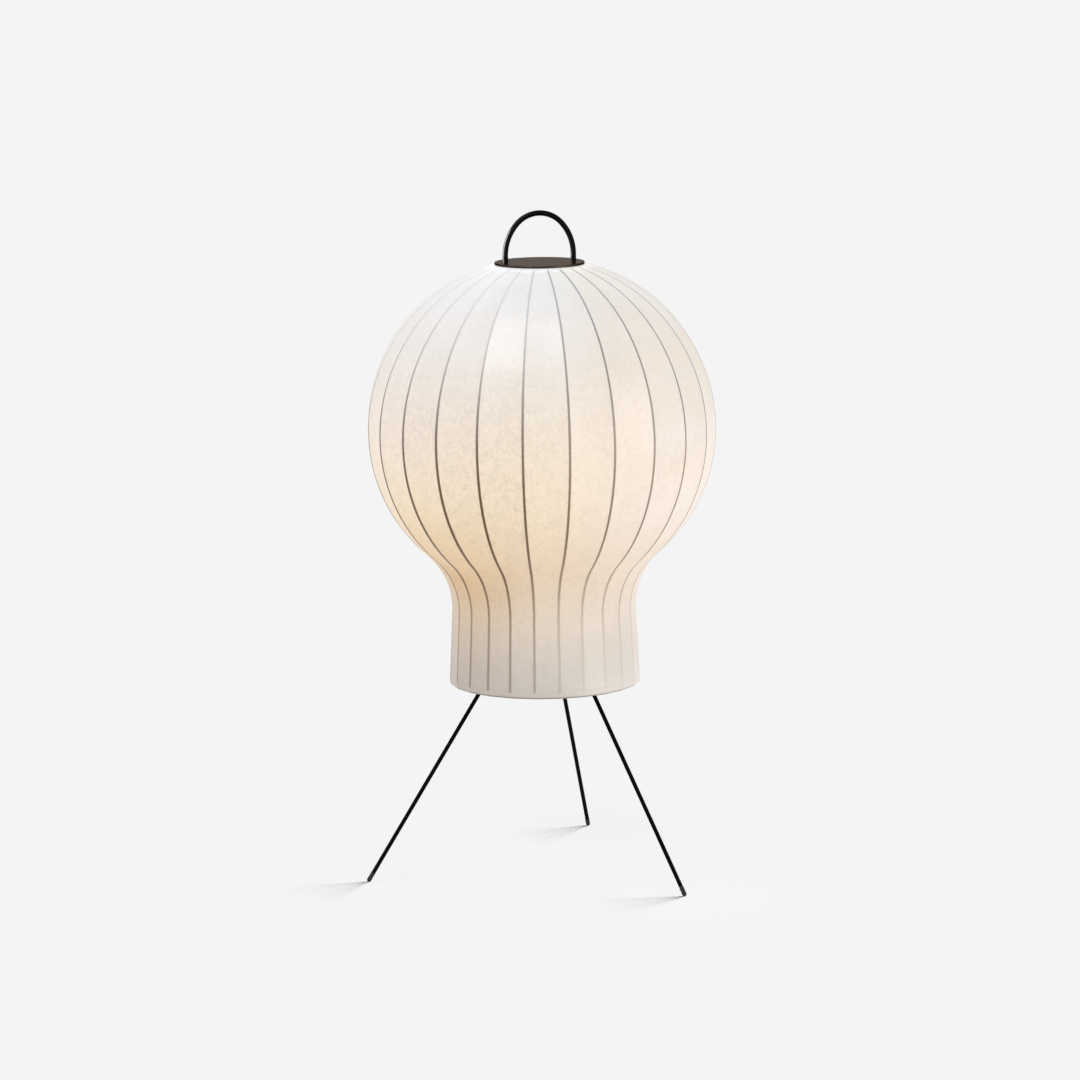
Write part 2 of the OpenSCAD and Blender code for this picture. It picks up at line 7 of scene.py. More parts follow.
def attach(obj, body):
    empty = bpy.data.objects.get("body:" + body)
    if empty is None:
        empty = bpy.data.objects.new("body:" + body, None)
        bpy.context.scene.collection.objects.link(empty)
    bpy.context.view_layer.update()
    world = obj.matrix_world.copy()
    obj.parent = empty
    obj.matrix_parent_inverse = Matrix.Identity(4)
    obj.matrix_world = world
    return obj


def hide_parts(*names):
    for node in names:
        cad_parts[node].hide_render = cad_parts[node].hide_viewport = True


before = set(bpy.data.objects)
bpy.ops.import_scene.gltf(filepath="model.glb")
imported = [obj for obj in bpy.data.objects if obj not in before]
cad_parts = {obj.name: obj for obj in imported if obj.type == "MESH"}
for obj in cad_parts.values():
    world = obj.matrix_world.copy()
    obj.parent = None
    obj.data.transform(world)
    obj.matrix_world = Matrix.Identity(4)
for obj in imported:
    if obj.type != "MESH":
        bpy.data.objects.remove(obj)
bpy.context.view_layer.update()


# The view. A long lens stands 6.5 m in front of the lamp, a little above it and
# turned a little round it, so that the handle and one leg are seen slightly from
# the side. The photograph is tipped by less than a degree, and so is this view.
view_turn, view_rise, view_tip = math.radians(-16.4), math.radians(9.59), math.radians(-0.74)
view_distance, view_shift, view_middle = 6.508, -0.0044, 0.48725
sensor_mm, lens_mm = 36, 149.35
level, rise = math.cos(view_rise), math.sin(view_rise)
to_right = Vector((math.cos(view_turn), math.sin(view_turn), 0))
to_back = Vector((math.sin(view_turn) * level, -math.cos(view_turn) * level, rise))
to_top = to_back.cross(to_right)
tipped_right = to_right * math.cos(view_tip) + to_top * math.sin(view_tip)
tipped_top = to_top * math.cos(view_tip) - to_right * math.sin(view_tip)
lens = bpy.data.cameras.new("view")
lens.sensor_width, lens.lens = sensor_mm, lens_mm
lens.clip_start, lens.clip_end = 0.1, 200
camera = bpy.data.objects.new("view", lens)
bpy.context.scene.collection.objects.link(camera)
turned = Matrix((tipped_right, tipped_top, to_back)).transposed().to_4x4()
stand = to_right * view_shift + to_back * view_distance + Vector((0, 0, view_middle))
camera.matrix_world = Matrix.Translation(stand) @ turned
bpy.context.scene.camera = camera
bpy.context.scene.view_settings.view_transform = "Standard"


# The floor. A pale seamless floor that runs out of sight. Near each foot it keeps
# the short shadow of the leg, and further out it is as plain as the background. From
# underneath it can be seen through, so that the lamp shows from below too.
background = (0.905, 0.905, 0.905, 1)
floor_reach, floor_z, floor_bounce = 9.0, -0.0003, 0.22
foot_circle, foot_turns = 0.27, (60, 180, 300)
shadow_from, shadow_to = 0.06, 0.165
floor_share, matt_level = 0.17, 5.72


def put(tree, kind, options=None, **inputs):
    """Adds a shader node. Each input is a value, or the output that feeds it.

    An input goes by its name, or as i0, i1 and so on by its number.
    """
    made = tree.nodes.new("ShaderNode" + kind)
    for name, value in (options or {}).items():
        setattr(made, name, value)
    for name, value in inputs.items():
        socket = made.inputs[int(name[1:])] if name[1:].isdigit() else made.inputs[name.replace("_", " ")]
        if isinstance(value, bpy.types.NodeSocket):
            tree.links.new(value, socket)
        else:
            socket.default_value = value
    return made


def sums(tree, how, *values):
    """One step of arithmetic on numbers."""
    return put(tree, "Math", {"operation": how}, **{f"i{i}": v for i, v in enumerate(values)}).outputs[0]


def times(tree, *values):
    """The product of the values."""
    made = values[0]
    for value in values[1:]:
        made = sums(tree, "MULTIPLY", made, value)
    return made


def minus(tree, value, less):
    return sums(tree, "SUBTRACT", value, less)


def ramp(tree, value, low, high, at_low=0.0, at_high=1.0):
    """A soft step from at_low to at_high as value goes from low to high."""
    step = put(tree, "MapRange", {"interpolation_type": "SMOOTHSTEP"}, Value=value,
               From_Min=low, From_Max=high, To_Min=at_low, To_Max=at_high)
    return step.outputs["Result"]


def shown_rays(tree):
    """1 for what the camera sees itself, in a mirror or through glass, and 0 for light on its way."""
    path = put(tree, "LightPath")
    seen = sums(tree, "MAXIMUM", path.outputs["Is Camera Ray"], path.outputs["Is Glossy Ray"])
    return sums(tree, "MAXIMUM", seen, path.outputs["Is Transmission Ray"])


bpy.ops.object.select_all(action="DESELECT")
bpy.ops.mesh.primitive_circle_add(
    vertices=64, radius=floor_reach, fill_type="NGON", location=(0, 0, floor_z),
)
floor = bpy.context.object
floor.name = "floor"
floor_paint = bpy.data.materials.new("floor paint")
floor_paint.use_nodes = True
tree = floor_paint.node_tree
tree.nodes.clear()
place = put(tree, "TexCoord").outputs["Object"]
away = floor_reach
for turn in foot_turns:
    foot = (foot_circle * math.cos(math.radians(turn)), foot_circle * math.sin(math.radians(turn)), 0)
    to_foot = put(tree, "VectorMath", {"operation": "DISTANCE"}, i0=place, i1=foot).outputs["Value"]
    away = sums(tree, "MINIMUM", away, to_foot)

# Near a foot, part of the floor's even glow is exchanged for matt paint that the low
# lights shine on. matt_level is how bright that paint is where nothing shades it, so
# only the shadow shows
kept = ramp(tree, away, shadow_from, shadow_to, floor_share, 0.0)
matt = put(tree, "BsdfDiffuse", Color=(0.9, 0.9, 0.9, 1))
kept_matt = put(tree, "MixShader", i0=kept, i2=matt.outputs[0])
glow = put(tree, "Emission", Color=background, Strength=minus(tree, 1.0, times(tree, kept, matt_level)))
whole = put(tree, "AddShader", i0=kept_matt.outputs[0], i1=glow.outputs[0])
bounce = put(tree, "Emission", Color=(1, 0.985, 0.96, 1), Strength=floor_bounce)
seen_floor = put(tree, "MixShader", i0=shown_rays(tree), i1=bounce.outputs[0], i2=whole.outputs[0])
clear = put(tree, "BsdfTransparent")
from_below = put(tree, "NewGeometry").outputs["Backfacing"]
sided = put(tree, "MixShader", i0=from_below, i1=seen_floor.outputs[0], i2=clear.outputs[0])
put(tree, "OutputMaterial", Surface=sided.outputs[0])
floor.data.materials.append(floor_paint)


# The studio. Even light from a pale room, a tall soft window high in front that
# gives the silk its sheen, and a wide soft light on the right. A pale card lights
# the handle's left edge, and two low lights draw the short soft shadows at the feet.
room_light = 0.55
world = bpy.data.worlds.new("room")
bpy.context.scene.world = world
world.use_nodes = True
tree = world.node_tree
tree.nodes.clear()
seen_room = put(tree, "Background", Color=background, Strength=1.0)
lit_room = put(tree, "Background", Color=(0.97, 0.985, 1, 1), Strength=room_light)
room = put(tree, "MixShader", i0=shown_rays(tree), i1=lit_room.outputs[0], i2=seen_room.outputs[0])
put(tree, "OutputWorld", Surface=room.outputs[0])


def soft_light(name, kind, sideways, nearer, height, size, power, colour, aim=0.65):
    """A soft light, placed as the camera sees it: metres to its right, towards it and above the floor."""
    to_front = Vector((to_back.x, to_back.y, 0)).normalized()
    spot = to_right * sideways + to_front * nearer + Vector((0, 0, height))
    data = bpy.data.lights.new(name, kind)
    data.energy, data.color = power, colour
    if kind == "AREA":
        data.shape, data.size, data.size_y = "RECTANGLE", *size
    else:
        data.angle = size
    light = bpy.data.objects.new(name, data)
    bpy.context.scene.collection.objects.link(light)
    facing = (spot - Vector((0, 0, aim))).to_track_quat("Z", "Y")
    light.matrix_world = Matrix.Translation(spot) @ facing.to_matrix().to_4x4()
    return light


soft_light("window light", "AREA", sideways=-0.62, nearer=0.96, height=2.75,
           size=(1.25, 1.7), power=21.0, colour=(0.93, 0.97, 1.0))
soft_light("side light", "AREA", sideways=2.7, nearer=1.7, height=0.65,
           size=(1.6, 2.6), power=32, colour=(0.95, 0.98, 1.0), aim=0.45)
edge = soft_light("edge light", "AREA", sideways=-1.6, nearer=0.1, height=1.3,
                  size=(1.1, 1.2), power=500, colour=(0.96, 0.97, 1.0), aim=0.93)
low_spread, low_power = math.radians(27), 40
low_lights = [
    soft_light(name, "SUN", sideways, nearer, 1.0, low_spread, low_power, (1.0, 1.0, 1.0), 0.0)
    for name, sideways, nearer in (("low light", 4.55, -1.92), ("second low light", 3.24, -3.72))
]


def lights_only(light, receivers, blockers):
    """The light falls on these objects alone, and only those cast its shadows."""
    for role, things in (("receiver", receivers), ("blocker", blockers)):
        group = bpy.data.collections.new(f"{light.name} {role}")
        for thing in things:
            group.objects.link(thing)
        setattr(light.light_linking, role + "_collection", group)


lights_only(edge, [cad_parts["handle"]], [])
standing = [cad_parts[f"{part}_{number}"] for part in ("leg", "leg_tip") for number in (1, 2, 3)]
for low in low_lights:
    lights_only(low, [floor], standing)


# The legs. Three straight 6 mm steel rods with a satin black powder coat, each
# turned down to a 4 mm spigot at its foot, which carries a moulded rubber tip.
# Their top ends are screwed into slanted holes in the hub.
def finish_like(name):
    """A new material, its node tree, its main shader and the place on the piece."""
    finish = bpy.data.materials.new(name)
    finish.use_nodes = True
    tree = finish.node_tree
    return finish, tree, tree.nodes["Principled BSDF"], put(tree, "TexCoord").outputs["Object"]


def plus(tree, *values):
    """The sum of the values."""
    made = values[0]
    for value in values[1:]:
        made = sums(tree, "ADD", made, value)
    return made


def grain(tree, place, scale, detail=3.0, rough=0.5, distortion=0.0, shift=(0, 0, 0), stretch=(1, 1, 1)):
    """Cloudy noise from 0 to 1; scale is in lumps a metre."""
    moved = put(tree, "Mapping", Vector=place, Location=shift, Scale=stretch).outputs[0]
    made = put(tree, "TexNoise", Vector=moved, Scale=scale, Detail=detail,
               Roughness=rough, Distortion=distortion)
    return made.outputs[0]


def blend_colours(tree, share, first, second, how="MIX"):
    """The first colour where share is 0, the second where it is 1, or the first changed by the second."""
    options = {"data_type": "RGBA", "blend_type": how, "clamp_factor": True}
    return put(tree, "Mix", options, i0=share, i6=first, i7=second).outputs[2]


def paler(colour, by):
    return tuple(level * by for level in colour[:3]) + (1,)


def feed(tree, shader, name, value):
    """Joins a number or colour to one of the shader's inputs."""
    tree.links.new(value, shader.inputs[name])


def bumps(tree, shader, height, depth, strength=1.0, under=None):
    """Raises the surface by height times depth, in metres."""
    bump = put(tree, "Bump", Strength=strength, Distance=depth, Height=height)
    if under is not None:
        tree.links.new(under, bump.inputs["Normal"])
    feed(tree, shader, "Normal", bump.outputs[0])
    return bump.outputs[0]


def dress(finish, *names):
    """Gives the CAD nodes of these names one material."""
    for name in names:
        for part_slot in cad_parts[name].material_slots:
            part_slot.material = finish


def powder_coat(name, colour, rubbed, roughness, gloss):
    """Satin powder coat: a fine orange peel, paler cloudy dust and paler rubbed places."""
    finish, tree, shader, place = finish_like(name)
    shader.inputs["Specular IOR Level"].default_value = gloss
    clouds = grain(tree, place, 22, 4, 0.6)
    rub = ramp(tree, grain(tree, place, 90, 5, 0.65, 0.4), 0.6, 0.78)
    colour_now = blend_colours(tree, ramp(tree, clouds, 0.35, 0.7), colour, paler(colour, 1.35))
    feed(tree, shader, "Base Color", blend_colours(tree, times(tree, rub, 0.35), colour_now, rubbed))
    peel = grain(tree, place, 1500, 2, 0.5)
    rough = plus(tree, times(tree, clouds, 0.16), roughness - 0.08)
    feed(tree, shader, "Roughness", minus(tree, rough, times(tree, rub, 0.1)))
    bumps(tree, shader, peel, 0.00006, 0.6)
    return finish


leg_black, leg_rubbed = (0.0012, 0.0010, 0.0010, 1), (0.007, 0.006, 0.0055, 1)
leg_coat = powder_coat("leg powder coat", leg_black, leg_rubbed, roughness=0.46, gloss=0.04)
dress(leg_coat, "leg_1", "leg_2", "leg_3")

tip_rubber, tree, shader, place = finish_like("tip rubber")
dust = ramp(tree, grain(tree, place, 260, 5, 0.7), 0.42, 0.75)
low_down = ramp(tree, put(tree, "SeparateXYZ", Vector=place).outputs["Z"], 0.001, 0.006, 1.0, 0.25)
black_rubber, floor_dust = (0.006, 0.0056, 0.0052, 1), (0.05, 0.047, 0.043, 1)
feed(tree, shader, "Base Color", blend_colours(tree, times(tree, dust, low_down), black_rubber, floor_dust))
feed(tree, shader, "Roughness", plus(tree, times(tree, dust, 0.2), 0.66))
bumps(tree, shader, grain(tree, place, 2200, 3, 0.6), 0.00008, 0.5)
dress(tip_rubber, "leg_tip_1", "leg_tip_2", "leg_tip_3")


# The hub. A turned steel disc with chamfered edges, coated like the legs, in which
# the three slanted holes for the legs and the middle hole for the wiring tube are
# drilled. The lathe's rings still show faintly under the coat.
def from_axis(tree, parts):
    """The distance from the lamp's axis, in metres."""
    return sums(tree, "SQRT", plus(tree, *(times(tree, parts[axis], parts[axis]) for axis in "XY")))


hub_coat, tree, shader, place = finish_like("hub coat")
parts = put(tree, "SeparateXYZ", Vector=place).outputs
rings_a_metre = 9000.0
along_cut = plus(tree, from_axis(tree, parts), times(tree, parts["Z"], 0.7))
lathe = sums(tree, "SINE", times(tree, along_cut, rings_a_metre))
cloud = grain(tree, place, 60, 4, 0.6)
hub_black, hub_cloud = (0.014, 0.013, 0.012, 1), (0.035, 0.032, 0.029, 1)
feed(tree, shader, "Base Color", blend_colours(tree, ramp(tree, cloud, 0.4, 0.72), hub_black, hub_cloud))
feed(tree, shader, "Roughness", plus(tree, times(tree, cloud, 0.2), 0.36))
turned_rings = bumps(tree, shader, lathe, 0.00001, 0.5)
bumps(tree, shader, grain(tree, place, 1500, 2), 0.00005, 0.5, turned_rings)
dress(hub_coat, "hub")


# The wiring tube, its lock nut and the cable gland. A length of zinc plated M10
# tube holds the lampholder down on the hub. The nut locks it from below, and the
# black moulded gland on its end lets the cord in. No cord is fitted.
def thread_height(tree, place, pitch):
    """The height of a screw thread round the lamp's axis, from 0 in the root to 1 on the crest."""
    parts = put(tree, "SeparateXYZ", Vector=place).outputs
    turn = sums(tree, "DIVIDE", sums(tree, "ARCTAN2", parts["Y"], parts["X"]), 2 * math.pi)
    along = minus(tree, sums(tree, "DIVIDE", parts["Z"], pitch), turn)
    return times(tree, sums(tree, "PINGPONG", along, 0.5), 2.0)


def plated(name, colour, stained, roughness, pitch=None):
    """Bare or plated metal: drawn scratches, cloudy stains and, where pitch is given, a screw thread."""
    finish, tree, shader, place = finish_like(name)
    clouds = grain(tree, place, 150, 5, 0.62)
    drawn = grain(tree, place, 900, 2, 0.5, stretch=(1, 1, 0.06))
    feed(tree, shader, "Base Color", blend_colours(tree, ramp(tree, clouds, 0.4, 0.72), colour, stained))
    shader.inputs["Metallic"].default_value = 1.0
    rough = plus(tree, times(tree, clouds, 0.22), roughness - 0.1)
    feed(tree, shader, "Roughness", plus(tree, rough, times(tree, drawn, 0.1)))
    fine = bumps(tree, shader, drawn, 0.00002, 0.5)
    if pitch:
        bumps(tree, shader, thread_height(tree, place, pitch), pitch * 0.45, 0.9, fine)
    return finish


tube_pitch = 0.001
tube_plate = plated("threaded zinc plate", (0.56, 0.57, 0.58, 1), (0.44, 0.43, 0.40, 1), 0.38, tube_pitch)
zinc = plated("zinc plate", (0.58, 0.59, 0.60, 1), (0.47, 0.46, 0.42, 1), 0.36)
dress(tube_plate, "wiring_tube")
dress(zinc, "lock_nut")


def phenolic(name, colour, shine):
    """Black moulded plastic: a fine mould texture, pale swirls in the filler and a dull bloom."""
    finish, tree, shader, place = finish_like(name)
    swirl = grain(tree, place, 75, 4, 0.55, 2.2)
    swirled = blend_colours(tree, ramp(tree, swirl, 0.5, 0.78), colour, paler(colour, 1.9))
    feed(tree, shader, "Base Color", swirled)
    feed(tree, shader, "Roughness", plus(tree, times(tree, swirl, 0.18), shine))
    bumps(tree, shader, grain(tree, place, 2600, 2), 0.00004, 0.45)
    return finish


moulded = phenolic("moulded black plastic", (0.018, 0.0175, 0.017, 1), 0.34)
dress(moulded, "cable_gland", "holder_cap", "holder_body", "shade_ring")


# The lampholder. A moulded cap and body screwed together, with a collar that the
# lantern's carrier sits on. Inside, a glazed porcelain insert holds the brass
# screw shell and the centre contact, and two brass terminals hang below it.
porcelain, tree, shader, place = finish_like("glazed porcelain")
cast = grain(tree, place, 130, 4, 0.55)
specks = ramp(tree, grain(tree, place, 1100, 2, 0.5), 0.74, 0.8)
body = blend_colours(tree, cast, (0.80, 0.785, 0.75, 1), (0.90, 0.89, 0.86, 1))
feed(tree, shader, "Base Color", blend_colours(tree, times(tree, specks, 0.5), body, (0.45, 0.38, 0.30, 1)))
feed(tree, shader, "Roughness", plus(tree, times(tree, cast, 0.1), 0.14))
bumps(tree, shader, grain(tree, place, 320, 2), 0.00005, 0.35)
shader.inputs["Coat Weight"].default_value = 0.6
shader.inputs["Coat Roughness"].default_value = 0.08
dress(porcelain, "holder_insert")

brass = plated("plain brass", (0.72, 0.54, 0.24, 1), (0.50, 0.34, 0.14, 1), 0.30)
dress(brass, "screw_shell", "centre_contact", "terminal_blocks")
dress(zinc, "terminal_screws")


# The bulb. A frosted glass bulb with a pressed aluminium screw cap, a black glass
# insulator and a soldered contact. The glass stem inside carries the filament.
# It is lit. The lantern's glow is painted into the silk's emission.
cap_metal = plated("pressed aluminium", (0.74, 0.745, 0.75, 1), (0.60, 0.60, 0.60, 1), 0.30)
dress(cap_metal, "bulb_cap", "bulb_contact")

black_glass, tree, shader, place = finish_like("black glass")
flow = grain(tree, place, 240, 3, 0.5, 1.0)
glass_black, glass_flow = (0.008, 0.008, 0.009, 1), (0.022, 0.020, 0.024, 1)
feed(tree, shader, "Base Color", blend_colours(tree, flow, glass_black, glass_flow))
feed(tree, shader, "Roughness", plus(tree, times(tree, flow, 0.1), 0.06))
bumps(tree, shader, flow, 0.0001, 0.4)
dress(black_glass, "bulb_insulator")

frosted, tree, shader, place = finish_like("lit frosted glass")
frost = grain(tree, place, 420, 5, 0.7)
height = put(tree, "SeparateXYZ", Vector=place).outputs["Z"]
lit = ramp(tree, height, 0.478, 0.512, 0.25, 1.0)
feed(tree, shader, "Base Color", blend_colours(tree, frost, (0.93, 0.90, 0.84, 1), (0.97, 0.95, 0.91, 1)))
shining = times(tree, lit, ramp(tree, frost, 0.2, 0.8, 0.86, 1.0))
dim_glow, full_glow = (0.20, 0.10, 0.03, 1), (1.0, 0.80, 0.50, 1)
feed(tree, shader, "Emission Color", blend_colours(tree, shining, dim_glow, full_glow))
shader.inputs["Emission Strength"].default_value = 2.6
feed(tree, shader, "Roughness", plus(tree, times(tree, frost, 0.2), 0.25))
bumps(tree, shader, frost, 0.00003, 0.4)
dress(frosted, "bulb_glass")

clear_glass, tree, shader, place = finish_like("clear stem glass")
seed = grain(tree, place, 500, 2, 0.5)
feed(tree, shader, "Base Color", blend_colours(tree, seed, (0.86, 0.91, 0.90, 1), (0.93, 0.96, 0.95, 1)))
shader.inputs["Transmission Weight"].default_value = 0.9
feed(tree, shader, "Roughness", times(tree, seed, 0.12))
bumps(tree, shader, seed, 0.00005, 0.4)
dress(clear_glass, "bulb_stem")

filament, tree, shader, place = finish_like("hot filament")
coil = grain(tree, place, 2500, 2, 0.5)
feed(tree, shader, "Base Color", blend_colours(tree, coil, (0.30, 0.29, 0.28, 1), (0.50, 0.48, 0.45, 1)))
feed(tree, shader, "Emission Color", blend_colours(tree, coil, (1.0, 0.55, 0.20, 1), (1.0, 0.78, 0.42, 1)))
shader.inputs["Emission Strength"].default_value = 6.0
feed(tree, shader, "Roughness", plus(tree, times(tree, coil, 0.3), 0.3))
bumps(tree, shader, coil, 0.00005, 0.5)
dress(filament, "bulb_filament")


# The wire frame. 24 bent steel ribs of 2 mm wire are welded to a flat top ring and
# a round bottom ring, and three arms carry the bottom ring on a fitting ring that
# is clamped on the lampholder. It is all dipped in dark brown paint.
def dipped_wire(name, colour, bare):
    """Thin dark paint on wire, with long cloudy runs and bare rubbed spots."""
    finish, tree, shader, place = finish_like(name)
    runs = grain(tree, place, 45, 5, 0.65, 0.6)
    worn = ramp(tree, grain(tree, place, 210, 4, 0.7), 0.62, 0.74)
    dark = blend_colours(tree, ramp(tree, runs, 0.3, 0.75), colour, paler(colour, 1.7))
    feed(tree, shader, "Base Color", blend_colours(tree, times(tree, worn, 0.6), dark, bare))
    shader.inputs["Metallic"].default_value = 0.15
    rough = plus(tree, times(tree, runs, 0.2), 0.42)
    feed(tree, shader, "Roughness", minus(tree, rough, times(tree, worn, 0.12)))
    bumps(tree, shader, grain(tree, place, 900, 3, 0.6), 0.00006, 0.6)
    return finish


wire_paint = dipped_wire("dark dipped wire", (0.062, 0.048, 0.040, 1), (0.22, 0.19, 0.17, 1))
dress(wire_paint, "shade_ribs", "bottom_ring", "top_ring", "fitter_arms", "fitter_ring")


# The silk. Spun silk cloth in 24 gores is drawn tight over the ribs and stiffened
# with clear lacquer, so that it dries flat and a little hollow between them. It is
# turned in round the bottom ring and ends in a doubled band under the top plate.
balloon_r, balloon_curve_r, balloon_z = 0.2525, 0.2425, 0.6535
shoulder_r = 0.103
mouth_r, mouth_z, hem_r = 0.1395, 0.279, 0.004
neck_flare = math.radians(3)
edge_r, tuck_r = 0.0640, 0.0634
rib_count, silk_t = 24, 0.0006
balloon_rows, shoulder_rows, neck_rows, hem_rows, hem_step = 52, 12, 10, 8, math.radians(25)

# The outline: a slightly flattened balloon, a hollow shoulder, a straight neck and a
# rolled hem, each running smoothly into the next. join and neck_turn are where the
# arcs meet
balloon_mid = Vector((balloon_r - balloon_curve_r, balloon_z))
neck_out = Vector((math.cos(neck_flare), math.sin(neck_flare)))
neck_up = Vector((-math.sin(neck_flare), math.cos(neck_flare)))
corner = Vector((mouth_r, mouth_z + hem_r * (1 + math.sin(neck_flare))))
hem_mid = corner - hem_r * neck_out
start = corner + shoulder_r * neck_out - balloon_mid
along = start.dot(neck_up)
neck_length = -along - math.sqrt(along ** 2 - start.dot(start) + (balloon_curve_r + shoulder_r) ** 2)
shoulder_mid = corner + shoulder_r * neck_out + neck_length * neck_up
join = math.atan2(*(shoulder_mid - balloon_mid))
edge_turn = math.asin((edge_r - balloon_mid.x) / balloon_curve_r)
neck_turn = math.pi / 2 - neck_flare


def on_balloon(turn):
    return balloon_mid + balloon_curve_r * Vector((math.sin(turn), math.cos(turn)))


def on_shoulder(turn):
    return shoulder_mid - shoulder_r * Vector((math.sin(turn), math.cos(turn)))


def on_hem(turn):
    return hem_mid + hem_r * Vector((math.sin(turn), math.cos(turn)))


outline = [Vector((tuck_r, on_balloon(edge_turn).y))]
outline += [on_balloon(edge_turn + (join - edge_turn) * i / balloon_rows) for i in range(balloon_rows + 1)]
outline += [on_shoulder(join + (neck_turn - join) * i / shoulder_rows) for i in range(1, shoulder_rows + 1)]
outline += [corner + neck_length * neck_up * (1 - i / neck_rows) for i in range(1, neck_rows + 1)]
outline += [on_hem(neck_turn + hem_step * i) for i in range(1, hem_rows + 1)]

# One ring of edges is drawn down the outline. Each gore has its columns at these
# degrees from its middle, closest beside the wires
column_turns = [-7.5, -7.15, -6.2, -3.6, 0.0, 3.6, 6.2, 7.15]
columns = len(column_turns)
bpy.ops.object.select_all(action="DESELECT")
bpy.ops.mesh.primitive_circle_add(vertices=rib_count * columns, radius=outline[0].x, location=(0, 0, 0))
silk = bpy.context.object
silk.name = "silk_lantern"
bpy.ops.object.mode_set(mode="EDIT")
bpy.ops.mesh.select_all(action="SELECT")
bpy.ops.transform.translate(value=(0, 0, outline[0].y))
for above, below in zip(outline, outline[1:]):
    bpy.ops.mesh.extrude_edges_move(TRANSFORM_OT_translate={"value": (0, 0, below.y - above.y)})
    wider = below.x / above.x
    bpy.ops.transform.resize(value=(wider, wider, 1), center_override=(0, 0, 0))
bpy.ops.mesh.select_all(action="SELECT")
bpy.ops.mesh.normals_make_consistent(inside=False)
bpy.ops.object.mode_set(mode="OBJECT")

# Between two ribs the silk lies flat, a little hollow on the balloon and a little
# full on the shoulder, and it goes round each wire in a tight curve
half = math.pi / rib_count
gore_hollow, hollow_top, hollow_span, balloon_foot = 0.0016, 0.888, 0.46, on_balloon(join).y + 0.01
shoulder_full, neck_hollow, neck_top, hem_top, tuck_z = 0.0005, 0.0003, 0.36, 0.29, 0.889
lump_scale, lump_height = 22, 0.0009


def hollow_at(z):
    """How far the middle of a gore stands inside a flat one, in metres."""
    if z < hem_top or z >= hollow_top:
        return 0
    if z > balloon_foot:
        return gore_hollow * math.sin(math.pi * min(1, (hollow_top - z) / hollow_span)) ** 0.5
    return -shoulder_full if z > neck_top else neck_hollow


for point in silk.data.vertices:
    out = math.hypot(point.co.x, point.co.y)
    turn = math.atan2(point.co.y, point.co.x)
    column = round((turn + half) / (2 * half) * columns)
    panel, place_in = divmod(column, columns)
    off = math.radians(column_turns[place_in])
    turn = panel * 2 * half + off
    flat = out * math.cos(half) / math.cos(off)
    share = 1 - (off / half) ** 2
    on_round = Vector((math.cos(turn) * out, math.sin(turn) * out, point.co.z))
    lump = noise.noise(on_round * lump_scale) * lump_height if point.co.z > hem_top else 0
    reach = flat - (hollow_at(point.co.z) * (out / balloon_r) - lump) * share
    if point.co.z > tuck_z:
        reach = out
    point.co.x, point.co.y = reach * math.cos(turn), reach * math.sin(turn)

thicken = silk.modifiers.new("cloth", "SOLIDIFY")
thicken.thickness, thicken.offset = silk_t, -1
bpy.ops.object.modifier_apply(modifier=thicken.name)
bpy.ops.object.shade_smooth()

spun_silk, tree, shader, place = finish_like("spun silk")
parts = put(tree, "SeparateXYZ", Vector=place).outputs
height = parts["Z"]
out = from_axis(tree, parts)
around = sums(tree, "DIVIDE", sums(tree, "ARCTAN2", parts["Y"], parts["X"]), 2 * half)
above_zero = 60.0
in_gore = sums(tree, "FRACT", plus(tree, around, above_zero))
off_rib = sums(tree, "ABSOLUTE", minus(tree, in_gore, 0.5))
from_rib = times(tree, off_rib, 2 * half, out)

# Cloth: big soft clouds, small cloudy paper-like lumps, and long thin fibres
clouds = grain(tree, place, 7, 3, 0.5)
lumps = grain(tree, place, 80, 3, 0.5, 0.3)
mottle = grain(tree, place, 240, 3, 0.6, stretch=(1, 1, 0.6))
speckle = grain(tree, place, 640, 2, 0.5)
drawn = grain(tree, place, 50, 4, 0.6, stretch=(1, 1, 0.12))


def fibres(tree, place, scale, width, shift, stretch=(1, 1, 1)):
    """Thin winding lines, 1 on a fibre and 0 off it."""
    field = grain(tree, place, scale, 2, 0.45, 0.8, shift, stretch)
    return ramp(tree, sums(tree, "ABSOLUTE", minus(tree, field, 0.5)), 0.0, width, 1.0, 0.0)


long_hairs = fibres(tree, place, 26, 0.014, (3, 1, 7))
short_hairs = fibres(tree, place, 47, 0.02, (11, 5, 2), (1, 1, 0.6))
hairs = sums(tree, "MAXIMUM", long_hairs, short_hairs)
hairs = sums(tree, "MAXIMUM", hairs, fibres(tree, place, 90, 0.035, (21, 9, 4)))
patchy = ramp(tree, grain(tree, place, 18, 3, 0.5, shift=(5, 5, 5)), 0.42, 0.66)
hairs = times(tree, hairs, patchy)


def scaled(tree, colour, by):
    return put(tree, "VectorMath", {"operation": "SCALE"}, i0=colour, Scale=by).outputs[0]


def by_height(tree, height, stops):
    """A colour for each height of the silk, blended smoothly between the stops.

    A colour ramp can't go past 1, so the stops are divided by the most of them and
    the result is scaled back.
    """
    low, high = stops[0][0], stops[-1][0]
    most = max(max(colour) for _, colour in stops)
    along = put(tree, "MapRange", Value=height, From_Min=low, From_Max=high).outputs["Result"]
    made = put(tree, "ValToRGB", i0=along)
    band = made.color_ramp
    band.interpolation = "B_SPLINE"
    while len(band.elements) < len(stops):
        band.elements.new(0.5)
    for element, (at, colour) in zip(band.elements, stops):
        element.position = (at - low) / (high - low)
        element.color = tuple(share / most for share in colour) + (1,)
    return scaled(tree, made.outputs[0], most)


def share_by_height(tree, height, *stops):
    """The same for a share from 0 to 1."""
    return by_height(tree, height, [(at, (share,) * 3) for at, share in stops])
